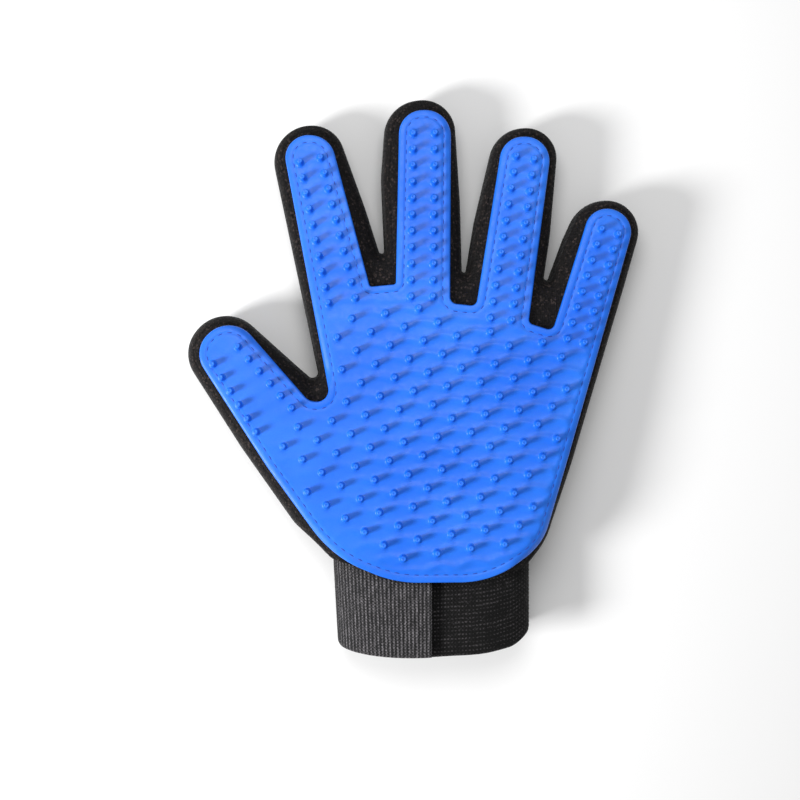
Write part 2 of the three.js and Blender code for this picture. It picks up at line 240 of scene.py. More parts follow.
def hollow(value, place, reach):
    """A groove's shape: 1 at its place, and next to nothing beyond twice its reach."""
    return np.exp(-(((value - place) / reach) ** 2))


def tree_of(spots):
    tree = KDTree(len(spots))
    for i, (x, y) in enumerate(spots):
        tree.insert((x, y, 0), i)
    tree.balance()
    return tree


def nearest(tree, spots):
    """The number of each spot's nearest point in the tree, and how far away it is."""
    found = [tree.find((x, y, 0)) for x, y in spots]
    return np.array([number for _, number, _ in found]), np.array([gap for _, _, gap in found])


def path_lengths(points):
    """How far along a path each of its points is."""
    return np.concatenate([[0], np.cumsum(np.linalg.norm(np.diff(points, axis=0), axis=1))])


def on_path(at, lengths, values):
    """A path's points, or its normals, at distances along it."""
    return np.column_stack([np.interp(at, lengths, values[:, k]) for k in range(2)])


def bulge(depth, reach, power):
    """From 0 at the silhouette to 1 at reach inside it, upright at its start and level at its end."""
    t = np.clip(depth / reach, 0, 1)
    return (1 - (1 - t) ** power) ** (1 / power)


# ---- Outlines ----


def rounded_outline(corners):
    """Points and outward normals of an outline with rounded corners, anticlockwise."""
    places, normals = [], []
    for i, (x, y, radius) in enumerate(corners):
        corner = np.array([x, y], float)
        back = unit(np.array(corners[i - 1][:2]) - corner)
        ahead = unit(np.array(corners[(i + 1) % len(corners)][:2]) - corner)
        half = math.acos(back @ ahead) / 2
        turn = math.copysign(1, back[0] * ahead[1] - back[1] * ahead[0])  # 1 where the outline bulges
        centre = corner + unit(back + ahead) * radius / math.sin(half)
        arm = corner + back * radius / math.tan(half) - centre
        sweep = -turn * (math.pi - 2 * half)
        steps = math.ceil(max(abs(sweep) / ARC_STEP, abs(sweep) * radius / OUTLINE_SPACING))
        for k in range(steps + 1):
            angle = sweep * k / steps
            c, s = math.cos(angle), math.sin(angle)
            spoke = np.array([arm[0] * c - arm[1] * s, arm[0] * s + arm[1] * c])
            places.append(centre + spoke)
            normals.append(spoke * turn / radius)
    points, outward = [], []
    for i, place in enumerate(places):
        j = (i + 1) % len(places)
        parts = max(1, math.ceil(np.linalg.norm(places[j] - place) / OUTLINE_SPACING - 1e-6))
        for k in range(parts):
            points.append(place + (places[j] - place) * k / parts)
            outward.append(unit(normals[i] + (normals[j] - normals[i]) * k / parts))
    return np.array(points)[::-1], np.array(outward)[::-1]


class Outline:
    def __init__(self, corners):
        self.points, self.normals = rounded_outline(corners)
        self.tree = tree_of(self.points)

    def ring(self, inset):
        return self.points - self.normals * inset

    def locate(self, spots):
        """How far inside the outline each spot is, the outline's nearest point, and the normal there."""
        count = len(self.points)
        closest, _ = nearest(self.tree, spots)
        found = []
        for start in ((closest - 1) % count, closest):
            end = (start + 1) % count
            edge = self.points[end] - self.points[start]
            t = ((spots - self.points[start]) * edge).sum(1) / (edge * edge).sum(1)
            t = np.clip(t, 0, 1)[:, None]
            foot = self.points[start] + edge * t
            normal = unit(self.normals[start] * (1 - t) + self.normals[end] * t)
            found.append((np.linalg.norm(spots - foot, axis=1), foot, normal))
        (near, foot, normal), (other, other_foot, other_normal) = found
        swap = other < near
        near = np.where(swap, other, near)
        foot = np.where(swap[:, None], other_foot, foot)
        normal = np.where(swap[:, None], other_normal, normal)
        inside = -((spots - foot) * normal).sum(1)
        return np.copysign(near, inside), foot, normal


glove_outline = Outline(GLOVE_CORNERS)
pad_outline = Outline(PAD_CORNERS)


# ---- Fingers ----


class Finger:
    def __init__(self, name, base, middle, spread, rows, nubs):
        self.name, self.middle, self.spread, self.rows = name, middle, spread, rows
        self.left, self.right = (np.array(p, float) for p in base)
        self.across = unit(self.right - self.left)
        self.along = np.array([-self.across[1], self.across[0]])
        self.columns = [[np.array(p, float) for p in column] for column in nubs]

    def cut(self, shift):
        """The two ends of the line across the finger, shift beyond its base."""
        wider = [s * shift / FINGER_LENGTH for s in self.spread]
        left = self.left + self.along * shift - self.across * wider[0]
        right = self.right + self.along * shift + self.across * wider[1]
        return np.array([left, right])

    def place(self, spots):
        """How far along and across the finger the spots are, from its base line's left end."""
        from_left = spots - self.left
        return from_left @ self.along, from_left @ self.across

    def holds(self, spots):
        along, across = self.place(spots)
        width = np.linalg.norm(self.right - self.left)
        share = along / FINGER_LENGTH
        wide = (across > -self.spread[0] * share) & (across < width + self.spread[1] * share)
        return (along > 0) & (along < FINGER_LENGTH) & wide

    def nubs(self):
        steps = [i / (self.rows - 1) for i in range(self.rows)]
        return [first + (last - first) * t for first, last in self.columns for t in steps]

    def point(self, shift):
        """A point above the middle of the base line, shift along the finger, in metres."""
        x, y = (self.left + self.right) / 2 + self.along * shift
        return (x * MM, y * MM, (PALM_THICKNESS + TAPER * y) * MM)


fingers = [Finger(**f) for f in FINGERS]


def region_of(spots):
    """The name of the body that each spot belongs to."""
    names = np.full(len(spots), "palm", dtype=object)
    for finger in fingers:
        along, _ = finger.place(spots)
        inside = finger.holds(spots)
        names[inside & (along <= finger.middle)] = finger.name + "_base"
        names[inside & (along > finger.middle)] = finger.name + "_tip"
    return names


def palm_nubs(taken):
    """The lattice's nubs that are clear of the pad's edge and of the fingers."""
    c, s = math.cos(LATTICE["tilt"]), math.sin(LATTICE["tilt"])
    spots = []
    for row in range(-20, 21):
        for k in range(-20, 21):
            run = (k + (0.5 if row % 2 else 0)) * LATTICE["pitch"]
            rise = row * LATTICE["spacing"]
            x = LATTICE["start"][0] + run * c - rise * s
            y = LATTICE["start"][1] - run**2 / (2 * LATTICE["bend"]) + run * s + rise * c
            spots.append((x, y))
    spots = np.array(spots)
    depth, _, _ = pad_outline.locate(spots)
    free = (depth > NUB_EDGE_MARGIN) & (spots[:, 1] > NUB_LOWEST)
    for finger in fingers:
        last = (finger.columns[0][1] + finger.columns[1][1]) / 2
        from_last = spots - last
        beside = np.abs(from_last @ finger.across) < FINGER_REACH
        free &= ~((from_last @ finger.along > 0) & beside)
    gaps = np.linalg.norm(spots[:, None] - np.array(taken)[None], axis=2).min(axis=1)
    return list(spots[free & (gaps > NUB_CLEARANCE)])


finger_nubs = [spot for finger in fingers for spot in finger.nubs()]
nub_spots = np.array(finger_nubs + palm_nubs(finger_nubs))


# ---- Surfaces over the flat plan ----


def outer_surface(spots, depth):
    """The palm side of the fabric, before the lean at the wrist."""
    y = spots[:, 1]
    top = fabric_top(y)
    rise = bulge(depth, TOP_REACH, TOP_POWER)
    groove = SEAM_GROOVE * fade(depth, SEAM_INSET + SEAM_GROOVE_REACH, SEAM_INSET)
    crease = CREASE * hollow(depth, CREASE_INSET, CREASE_REACH)
    return SIDE_HEIGHT + (top - SIDE_HEIGHT) * rise - groove - crease


def strap_slant(x, z):
    """How far the strap's start is moved towards the fingers at a place round the wrist."""
    return STRAP_RISE * np.clip(x / STRAP_RISE_X, 0, 1) ** 1.5 - STRAP_LEAN * (z - STRAP_MIDDLE)


def leaning(points):
    """Moves the wrist's end of the fabrics to the strap's slanting edge."""
    share = fade(points[:, 1], LEAN_START, WRIST_CUT)
    moved = points.copy()
    moved[:, 1] += strap_slant(points[:, 0], points[:, 2]) * share
    return moved


def ridge(phase):
    return ((1 + np.cos(phase)) / 2) ** RIPPLE_POWER - RIPPLE_MEAN


def lattice_ripples(spots):
    """The palm's ripples: a wave for each row of nubs, that arches up between them."""
    c, s = math.cos(LATTICE["tilt"]), math.sin(LATTICE["tilt"])
    x, y = spots[:, 0] - LATTICE["start"][0], spots[:, 1] - LATTICE["start"][1]
    run = x * c + y * s
    rise = -x * s + y * c + run**2 / (2 * LATTICE["bend"])
    arch = np.cos(2 * np.pi * run / LATTICE["pitch"]) * np.cos(np.pi * rise / LATTICE["spacing"])
    phase = 2 * np.pi * (rise - RIPPLE_ARCH * (1 - arch)) / LATTICE["spacing"]
    share = TIGHT_SHARE + (1 - TIGHT_SHARE) * fade(spots[:, 0], *TIGHT_SIDE_X)
    return RIPPLE * share * ridge(phase)


def finger_ripples(spots, finger):
    """A finger's ripples, which arch between its two columns of nubs, and where they apply."""
    first = (finger.columns[0][0] + finger.columns[1][0]) / 2
    last = (finger.columns[0][1] + finger.columns[1][1]) / 2
    along = unit(first - last)
    across = np.array([along[1], -along[0]])
    spacing = np.linalg.norm(first - last) / (finger.rows - 1)
    slope = finger.columns[1][0] - finger.columns[0][0]
    skew = (slope @ along) / (slope @ across)
    half_gap = abs(slope @ across) / 2
    offset = spots - last
    side = offset @ across
    rise = offset @ along - skew * side
    arch = FINGER_RIPPLE_ARCH * (1 - np.clip(np.abs(side) / half_gap, 0, 1.6) ** 2)
    height = THUMB_RIPPLE if finger.name == "thumb" else FINGER_RIPPLE
    wave = height * ridge(2 * np.pi * (rise - arch) / spacing)
    weight = fade(rise, -spacing, 0) * fade(np.abs(side), FINGER_REACH, FINGER_REACH - FINGER_RIPPLE_FADE)
    return wave, weight


def pad_surface(spots):
    """The pad's top over the plan, without its nubs."""
    glove_depth, _, _ = glove_outline.locate(spots)
    depth, _, _ = pad_outline.locate(spots)
    under = pad_underside(spots, glove_depth)
    edge = np.clip(depth / RIM_RADIUS, 0, 1)
    rim = RIM_SHARE + (1 - RIM_SHARE) * np.sqrt(np.clip(1 - (1 - edge) ** 2, 0, 1))
    groove = STITCH_GROOVE * hollow(depth, STITCH_INSET, STITCH_GROOVE_REACH)
    lip = RIM_RISE * fade(depth, 0, RIM_RADIUS) * fade(depth, *RIM_RISE_END)
    ripple = lattice_ripples(spots)
    for finger in fingers:
        wave, weight = finger_ripples(spots, finger)
        ripple = ripple * (1 - weight) + wave * weight
    return under + PAD_THICKNESS * rim - groove + lip + ripple * fade(depth, *RIPPLE_INSET)


def pad_underside(spots, glove_depth):
    rise = bulge(glove_depth, TOP_REACH, TOP_POWER)
    return SIDE_HEIGHT + (fabric_top(spots[:, 1]) - SIDE_HEIGHT) * rise + LAYER_GAP


# ---- Flat triangulation ----


def triangulate(loops, lines, loose, keep):
    """Triangles of the plan, with the loops and lines as edges, where keep says so of their centres.

    Returns the points, the triangles, and the place in the points of each one that was given."""
    points, edges = [], []
    for group, closed in [(g, True) for g in loops] + [(g, False) for g in lines]:
        first = len(points)
        points.extend(group)
        last = len(points) - 1
        edges.extend((i, i + 1) for i in range(first, last))
        if closed:
            edges.append((last, first))
    points.extend(loose)
    made = delaunay_2d_cdt([Vector(p) for p in points], edges, [], 0, 1e-4)
    spots = np.array([v[:] for v in made[0]])
    faces = np.array([f for f in made[2]], int)
    where = np.full(len(points), -1)
    for i, sources in enumerate(made[3]):
        for source in sources:
            where[source] = i
    a, b, c = (spots[faces[:, k]] for k in range(3))
    turn = (b[:, 0] - a[:, 0]) * (c[:, 1] - a[:, 1]) - (b[:, 1] - a[:, 1]) * (c[:, 0] - a[:, 0])
    faces[turn < 0] = faces[turn < 0][:, ::-1]
    wanted = (np.abs(turn) > 1e-7) & keep((a + b + c) / 3)
    return spots, faces[wanted], where


def split(ends, spacing):
    """Points along a line, at most spacing apart."""
    start, end = ends
    count = math.ceil(np.linalg.norm(end - start) / spacing)
    return [start + (end - start) * k / count for k in range(count + 1)]


def cut_lines(spacing):
    return [split(finger.cut(shift), spacing) for finger in fingers for shift in (0, finger.middle)]


def inner_grid(outline, lines, spacing, least, gap):
    """Points spaced as hexagons, at least so far inside the outline, and clear of the lines."""
    low, high = outline.points.min(axis=0), outline.points.max(axis=0)
    row_height = spacing * math.sqrt(0.75)
    rows = math.ceil((high[1] - low[1]) / row_height)
    columns = math.ceil((high[0] - low[0]) / spacing)
    x, row = np.meshgrid(np.arange(columns), np.arange(rows))
    spots = np.stack([low[0] + (x + row % 2 / 2) * spacing, low[1] + row * row_height], axis=-1)
    spots = spots.reshape(-1, 2)
    depth, _, _ = outline.locate(spots)
    return away_from_lines(spots[depth > least], lines, gap)


def away_from_lines(spots, lines, gap):
    """The spots that are further than gap from the lines' points."""
    _, gaps = nearest(tree_of(np.concatenate([np.array(line) for line in lines])), spots)
    return spots[gaps > gap]


# ---- Meshes ----


def add_object(name, data):
    made = bpy.data.objects.new(name, data)
    bpy.context.scene.collection.objects.link(made)
    return made


def vertex_normals(points, faces):
    """Smooth normals of a triangle mesh, weighted by area."""
    a, b, c = (points[faces[:, k]] for k in range(3))
    flat = np.cross(b - a, c - a)
    total = np.zeros_like(points)
    for k in range(3):
        np.add.at(total, faces[:, k], flat)
    return unit(total)


def make_object(name, points, faces, corner_normals, material, cloth=None):
    """A mesh object from points in millimetres, faces, and a normal for each face corner."""
    mesh = bpy.data.meshes.new(name)
    mesh.from_pydata((np.asarray(points) * MM).tolist(), [], [list(f) for f in faces])
    mesh.shade_smooth()
    place = np.asarray(points if cloth is None else cloth, np.float32)
    mesh.attributes.new("cloth", "FLOAT_VECTOR", "POINT").data.foreach_set("vector", place.ravel())
    if corner_normals is not None:
        mesh.normals_split_custom_set(np.asarray(corner_normals).tolist())
    mesh.materials.append(material)
    mesh.update()
    return add_object(name, mesh)


def region_rims(faces):
    """The directed edges that only one of the triangles has."""
    directed = {(face[k], face[(k + 1) % 3]): True for face in faces for k in range(3)}
    return [(a, b) for a, b in directed if (b, a) not in directed]


class Layer:
    """A closed sheet between an upper and a lower surface that share the plan's points."""

    def __init__(self, spots, faces, upper, lower, cloth=None):
        self.spots, self.faces = spots, faces
        self.upper, self.lower = upper, lower
        self.cloth = upper if cloth is None else cloth
        self.open = np.ones(len(faces), bool)  # faces of the upper side that stay; the rest are under nubs
        self.extra_points = np.zeros((0, 3))
        self.extra_faces = []
        self.extra_region = []
        self.regions = region_of(spots[faces].mean(axis=1))

    def finish_normals(self):
        top = [self.faces[self.open], np.array(self.extra_faces, int).reshape(-1, 3)]
        points = np.concatenate([self.upper, self.extra_points])
        self.upper_normals = vertex_normals(points, np.concatenate(top))
        self.lower_normals = -vertex_normals(self.lower, self.faces)

    def piece(self, name, region, material):
        """The closed mesh of one region."""
        mine = self.regions == region
        count = len(self.upper)
        offset = count + len(self.extra_points)
        normals = np.concatenate([self.upper_normals, self.lower_normals])
        points = np.concatenate([self.upper, self.extra_points, self.lower])
        cloth = np.concatenate([self.cloth, self.extra_points, self.cloth])
        faces = [tuple(f) for f in self.faces[mine & self.open]]
        faces += [f for f, r in zip(self.extra_faces, self.extra_region) if r == region]
        faces += [(c + offset, b + offset, a + offset) for a, b, c in self.faces[mine]]
        corner_normals = [normals[v] for face in faces for v in face]
        for a, b in region_rims(self.faces[mine]):
            wall = (a + offset, b + offset, b, a)
            side = unit(np.cross(points[b] - points[a], points[a] - points[a + offset]))
            faces.append(wall)
            corner_normals += [side] * 4
        used = np.unique(np.concatenate([np.array(f) for f in faces]))
        place = np.full(len(points), -1)
        place[used] = np.arange(len(used))
        faces = [[place[v] for v in face] for face in faces]
        return make_object(name, points[used], faces, corner_normals, material, cloth[used])


def add_nubs(layer, rings, where):
    """Grows a nub out of each ring of the plan's points. where gives each point's number in the layer."""
    centres = nub_spots
    _, gaps = nearest(tree_of(centres), layer.spots[layer.faces].mean(axis=1))
    layer.open = gaps > NUB_FOOT * 0.99
    heights = pad_surface(centres)
    step = 0.3  # over which the pad's slope is measured
    slope_x = (pad_surface(centres + [step, 0]) - pad_surface(centres - [step, 0])) / (2 * step)
    slope_y = (pad_surface(centres + [0, step]) - pad_surface(centres - [0, step])) / (2 * step)
    axes = unit(np.stack([-slope_x, -slope_y, np.ones(len(centres))], axis=1))
    regions = region_of(centres)
    extra = []
    count = len(layer.upper)
    random.seed(5)
    for i, centre in enumerate(centres):
        root = np.array([*centre, heights[i]])
        lean = np.array([random.gauss(0, NUB_LEAN), random.gauss(0, NUB_LEAN), 0])
        axis = unit(axes[i] + lean)
        side = unit(np.array([1, 0, 0]) - axis * axis[0])
        other = np.cross(axis, side)
        tall = 1 + random.gauss(0, NUB_UNEVEN)
        previous = [where[k] for k in rings[i]]
        for radius, height in NUB_PROFILE:
            current = []
            middle = root + axis * height * tall
            for turn in NUB_TURNS:
                current.append(count + len(extra))
                extra.append(middle + (side * math.cos(turn) + other * math.sin(turn)) * radius)
            for k in range(NUB_SIDES):
                j = (k + 1) % NUB_SIDES
                layer.extra_faces.append((previous[k], previous[j], current[j]))
                layer.extra_faces.append((previous[k], current[j], current[k]))
            previous = current
        tip = count + len(extra)
        extra.append(root + axis * NUB_TIP * tall)
        for k in range(NUB_SIDES):
            layer.extra_faces.append((previous[k], previous[(k + 1) % NUB_SIDES], tip))
        made = NUB_SIDES * (2 * len(NUB_PROFILE) + 1)
        layer.extra_region += [regions[i]] * made
    layer.extra_points = np.array(extra)


# ---- Materials ----


class Shader:
    """A material with a Principled shader, and short ways to add nodes to it."""

    def __init__(self, name, roughness, specular=0.5):
        self.material = bpy.data.materials.new(name)
        self.material.use_nodes = True
        self.nodes = self.material.node_tree.nodes
        self.links = self.material.node_tree.links
        self.surface = self.nodes["Principled BSDF"]
        self.set(Roughness=roughness, Specular_IOR_Level=specular)

    def join(self, source, target):
        if isinstance(source, (int, float, tuple)):
            target.default_value = source
        else:
            self.links.new(source, target)

    def add(self, kind, inputs, **settings):
        """A new node, with its inputs set to values or joined to other nodes' outputs."""
        node = self.nodes.new("ShaderNode" + kind)
        for name, value in settings.items():
            setattr(node, name, value)
        for name, source in inputs.items():
            self.join(source, node.inputs[name])
        return node

    def set(self, **values):
        """Sets the Principled shader's inputs, named with _ for each space."""
        for name, value in values.items():
            self.join(value, self.surface.inputs[name.replace("_", " ")])

    def place(self, x=1, y=None, z=None):
        """The cloth's own coordinates in millimetres, scaled by x, or by x, y and z."""
        source = self.add("Attribute", {}, attribute_name="cloth").outputs["Vector"]
        scale = (x, x, x) if y is None else (x, y, z)
        return self.add("Mapping", {"Vector": source, "Scale": scale}).outputs["Vector"]

    def noise(self, vector, detail=2.0, roughness=0.5):
        inputs = {"Vector": vector, "Scale": 1, "Detail": detail, "Roughness": roughness}
        return self.add("TexNoise", inputs).outputs["Fac"]

    def cells(self, vector, randomness=1.0, output="Distance"):
        inputs = {"Vector": vector, "Scale": 1, "Randomness": randomness}
        return self.add("TexVoronoi", inputs).outputs[output]

    def axis(self, vector, which):
        return self.add("SeparateXYZ", {"Vector": vector}).outputs[which]

    def sum(self, operation, *values):
        return self.add("Math", dict(enumerate(values)), operation=operation).outputs[0]

    def ramp(self, value, low, high, first=0.0, last=1.0):
        inputs = {"Value": value, "From Min": low, "From Max": high, "To Min": first, "To Max": last}
        return self.add("MapRange", inputs, interpolation_type="SMOOTHSTEP").outputs["Result"]

    def mix(self, share, first, second):
        node = self.add("Mix", {"Factor": share, "A": first, "B": second}, data_type="RGBA")
        return next(o for o in node.outputs if o.type == "RGBA")

    def bump(self, height, distance, strength=1.0, under=None):
        inputs = {"Height": height, "Distance": distance * MM, "Strength": strength}
        if under is not None:
            inputs["Normal"] = under
        normal = self.add("Bump", inputs).outputs["Normal"]
        self.set(Normal=normal)
        return normal


def tone(red, green, blue):
    """A colour given in sRGB from 0 to 255."""
    def linear(value):
        value /= 255
        return value / 12.92 if value <= 0.04045 else ((value + 0.055) / 1.055) ** 2.4
    return (linear(red), linear(green), linear(blue), 1.0)


def silicone_material():
    m = Shader("silicone", roughness=0.42, specular=0.4)
    cloudy = m.noise(m.place(0.03), 3)
    fine = m.noise(m.place(2.2), 4, 0.6)
    body = m.mix(m.ramp(cloudy, 0.35, 0.7), tone(22, 106, 226), tone(36, 118, 236))
    m.set(Base_Color=m.mix(m.ramp(fine, 0.3, 0.75, 0, 0.18), body, tone(14, 88, 212)))
    m.set(Roughness=m.ramp(m.noise(m.place(0.4), 3), 0.3, 0.7, 0.36, 0.5))
    m.bump(fine, 0.02, 0.6)
    m.set(Subsurface_Weight=0.06, Subsurface_Radius=(0.0004, 0.0008, 0.002), Subsurface_Scale=1.0)
    return m.material


def knit_material():
    m = Shader("knit", roughness=0.9, specular=0.2)
    loops = m.cells(m.place(1.15, 0.8, 1.0), 0.45)
    fluff = m.noise(m.place(1.1), 6, 0.75)
    flecks = m.axis(m.cells(m.place(1.3), 1.0, "Color"), 0)
    body = m.mix(m.ramp(loops, 0.15, 0.7), tone(20, 18, 18), tone(4, 4, 4))
    body = m.mix(m.ramp(fluff, 0.42, 0.68, 0, 0.8), body, tone(33, 30, 30))
    m.set(Base_Color=m.mix(m.ramp(flecks, 0.8, 1.0, 0, 0.4), body, tone(84, 72, 68)))
    m.bump(loops, -0.3, 0.9, m.bump(fluff, 0.5, 0.9))
    return m.material


def spacer_mesh_material():
    """Black air mesh: staggered round holes in a knit face."""
    m = Shader("spacer_mesh", roughness=0.85, specular=0.3)
    holes = m.cells(m.place(0.5, 0.44, 0.5), 0.12)
    threads = m.noise(m.place(3.2, 1.4, 2.2), 4, 0.6)
    hole = m.ramp(holes, 0.2, 0.42, 1, 0)
    body = m.mix(m.ramp(threads, 0.3, 0.7), tone(14, 13, 14), tone(36, 34, 34))
    # Inside the holes the colour is darker: the black layer beneath, plus painted shade for the holes'
    # depth.
    m.set(Base_Color=m.mix(hole, body, tone(7, 7, 8)))
    m.bump(m.sum("SUBTRACT", m.sum("MULTIPLY", threads, 0.3), hole), 0.5, 0.9)
    m.set(Sheen_Weight=0.04)
    return m.material


def thread_material():
    m = Shader("thread", roughness=0.6, specular=0.4)
    twist = m.noise(m.place(3), 2)
    m.set(Base_Color=m.mix(twist, tone(24, 56, 150), tone(44, 86, 196)))
    m.bump(twist, 0.05)
    return m.material


def webbing_material(name, dark, light, ribs, rows, across_rows, contrast):
    """A woven band, with rows that run round the wrist, or else with ribs that run along it.

    The cloth's X runs round the wrist and its Y along it."""
    m = Shader(name, roughness=0.85, specular=0.3)
    where = m.place()
    x, y = m.axis(where, 0), m.axis(where, 1)
    rib = m.sum("SINE", m.sum("MULTIPLY", y if across_rows else x, 2 * math.pi / ribs))
    pick = m.sum("SINE", m.sum("MULTIPLY", x if across_rows else y, 2 * math.pi / rows))
    weave = m.sum("MULTIPLY", rib, pick)
    thread = m.noise(m.place(*((0.16, 1.2, 1) if across_rows else (1.2, 0.16, 1))), 3, 0.6)
    speck = m.noise(m.place(1.5), 4, 0.8)
    height = m.sum("ADD", m.sum("MULTIPLY", weave, 0.5), m.sum("MULTIPLY", speck, 1.4))
    lines = m.sum("ADD", m.sum("MULTIPLY", weave, 0.1), m.sum("MULTIPLY", rib, 0.1))
    shade = m.sum("ADD", lines, m.sum("ADD", m.sum("MULTIPLY", thread, 0.55), speck))
    m.set(Base_Color=m.mix(m.ramp(shade, 0.95 - contrast, 0.95 + contrast), dark, light))
    m.bump(height, 0.3, 1.0)
    return m.material


def hook_material():
    m = Shader("hooks", roughness=0.55, specular=0.5)
    hooks = m.cells(m.place(0.75), 0.25)
    m.set(Base_Color=m.mix(m.ramp(hooks, 0.1, 0.5), tone(84, 84, 86), tone(30, 30, 32)))
    m.bump(hooks, -0.6, 1.0)
    return m.material


def loop_material():
    m = Shader("loops", roughness=0.95, specular=0.2)
    fluff = m.noise(m.place(1.3), 8, 0.8)
    m.set(Base_Color=m.mix(fluff, tone(14, 14, 15), tone(46, 45, 47)))
    m.bump(fluff, 0.9, 1.0)
    m.set(Sheen_Weight=0.3)
    return m.material


def lining_material():
    m = Shader("lining", roughness=0.9, specular=0.25)
    loops = m.cells(m.place(1.3, 0.9, 1.1), 0.3)
    m.set(Base_Color=m.mix(m.ramp(loops, 0.1, 0.7), tone(34, 33, 34), tone(12, 12, 13)))
    m.bump(loops, -0.3, 0.8)
    return m.material


SILICONE = silicone_material()
KNIT = knit_material()
SPACER_MESH = spacer_mesh_material()
THREAD = thread_material()
TAB_WEB = webbing_material(
    "tab_webbing", tone(31, 31, 32), tone(140, 136, 140),
    ribs=TAB_RIB_PITCH, rows=1.3, across_rows=False, contrast=0.28,
)
ELASTIC_WEB = webbing_material(
    "elastic_webbing", tone(0, 0, 0), tone(72, 69, 71),
    ribs=ELASTIC_ROW_PITCH, rows=1.5, across_rows=True, contrast=0.15,
)
HOOKS = hook_material()
LOOPS = loop_material()
LINING = lining_material()


# ---- Camera, light and floor ----


def aim(thing, target):
    """Points a camera or light at the target, with the fingertips upwards."""
    back = (thing.location - Vector(target)).normalized()
    side = Vector((0, 1, 0)).cross(back).normalized()
    turn = Matrix((side, back.cross(side), back)).transposed()
    thing.rotation_mode = "QUATERNION"
    thing.rotation_quaternion = turn.to_quaternion()


def make_camera():
    camera = add_object("camera", bpy.data.cameras.new("camera"))
    camera.location = (-0.036, 0.0084, 0.5884)
    aim(camera, (-0.0126, 0.0084, 0.0284))
    camera.data.sensor_width = 36
    camera.data.lens = 60.05
    bpy.context.scene.camera = camera


def make_light(name, azimuth, elevation, distance, size, power):
    """An area light that shines on the palm, its azimuth anticlockwise from +X. In metres and watts."""
    data = bpy.data.lights.new(name, "AREA")
    data.shape = "DISK"
    data.size = size
    data.energy = power
    light = add_object(name, data)
    a, e = math.radians(azimuth), math.radians(elevation)
    out = distance * math.cos(e)
    light.location = (out * math.cos(a), out * math.sin(a), distance * math.sin(e))
    aim(light, (0, 0.02, 0.02))


def make_studio():
    world = bpy.data.worlds.new("studio")
    world.use_nodes = True
    background = world.node_tree.nodes["Background"]
    background.inputs["Color"].default_value = (1, 1, 1, 1)
    background.inputs["Strength"].default_value = 0.37
    bpy.context.scene.world = world
    bpy.context.scene.view_settings.view_transform = "Standard"
    make_light("key", azimuth=200, elevation=31, distance=0.9, size=0.26, power=9.4)
    make_light("softbox", azimuth=100, elevation=62, distance=0.6, size=0.4, power=1.45)
    half = 4.0  # of the floor's side, in metres
    corners = [(-half, -half, 0), (half, -half, 0), (half, half, 0), (-half, half, 0)]
    mesh = bpy.data.meshes.new("floor")
    mesh.from_pydata(corners, [], [(0, 1, 2, 3)])
    floor = add_object("floor", mesh)
    paint = Shader("floor_paint", roughness=0.9, specular=0.2)
    paint.set(Base_Color=(0.93, 0.93, 0.93, 1))
    mesh.materials.append(paint.material)
    floor.location.z = cad_box[0][2] - 0.0002  # just clear of the glove's back


# ---- Moving with the CAD bodies ----

BEND_MARGIN = 2.5  # between a finger's middle joint and where its base bend would end; no bend is made
TIP_BEND = 17.0  # length of the bend that would follow the middle joint; no bend is made


def follow(piece, region):
    """Attaches a palm piece to the palm's body; a finger's piece only has its transform baked, without
    being attached to its body or bent at its joint.
    """
    for finger in fingers:
        base, tip = finger.name + "_base", finger.name + "_tip"
        if region == base:
            finger.point(0)
            finger.point(finger.middle - BEND_MARGIN)
            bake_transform(piece)
        if region == tip:
            finger.point(finger.middle)
            finger.point(finger.middle + TIP_BEND)
            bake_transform(piece)
    if region == "palm":
        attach(piece, "palm")


def plan_size(spots, region):
    """How wide and long a region is on the plan: a finger's, across and along the finger."""
    for finger in fingers:
        if region.startswith(finger.name):
            along, across = finger.place(spots)
            return np.ptp(across), np.ptp(along)
    return tuple(np.ptp(spots, axis=0))


def place_layer(layer, names, material, outer=None):
    """Makes a layer's pieces. names are the prefixes of the pieces and of the CAD nodes that they replace.

    A layer of cloth gives its outer side, from which each piece's area and its size on the plan are worked
    out, but not used."""
    layer.finish_normals()
    for region in sorted(set(layer.regions)):
        piece = layer.piece(f"{names[0]}_{region}", region, material)
        follow(piece, region)
        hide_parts(f"{names[1]}_{region}")
        if outer is not None:
            faces = layer.faces[layer.regions == region]
            a, b, c = (outer[faces[:, k]] for k in range(3))
            area = np.linalg.norm(np.cross(b - a, c - a), axis=1).sum() / 2
            plan = plan_size(layer.spots[faces].reshape(-1, 2), region)


# ---- Pad ----


def make_pad():
    insets = [0, 0.07, 0.25, 0.5, 0.9, 1.5, 2.2, 2.7, 3.2, 3.7, 4.3, 5.1]
    loops = [pad_outline.ring(inset) for inset in insets]
    circle = np.array([(math.cos(turn), math.sin(turn)) for turn in NUB_TURNS])
    circles = [spot + circle * NUB_FOOT for spot in nub_spots]
    lines = cut_lines(1.2)
    grid = inner_grid(pad_outline, lines, spacing=1.15, least=insets[-1] + 0.45, gap=0.75)
    grid = away_from_lines(grid, [nub_spots], NUB_FOOT + 0.5)

    def inside(centres):
        return pad_outline.locate(centres)[0] > 0

    spots, faces, where = triangulate(loops + circles, lines, grid, inside)
    top = np.column_stack([spots, pad_surface(spots)])
    glove_depth, _, _ = glove_outline.locate(spots)
    under = np.column_stack([spots, pad_underside(spots, glove_depth)])
    layer = Layer(spots, faces, top, under)
    first = sum(len(loop) for loop in loops)
    rings = [range(first + i * NUB_SIDES, first + (i + 1) * NUB_SIDES) for i in range(len(nub_spots))]
    add_nubs(layer, rings, where)
    place_layer(layer, ("pad", "silicone_pad"), SILICONE)


# ---- Stitching ----


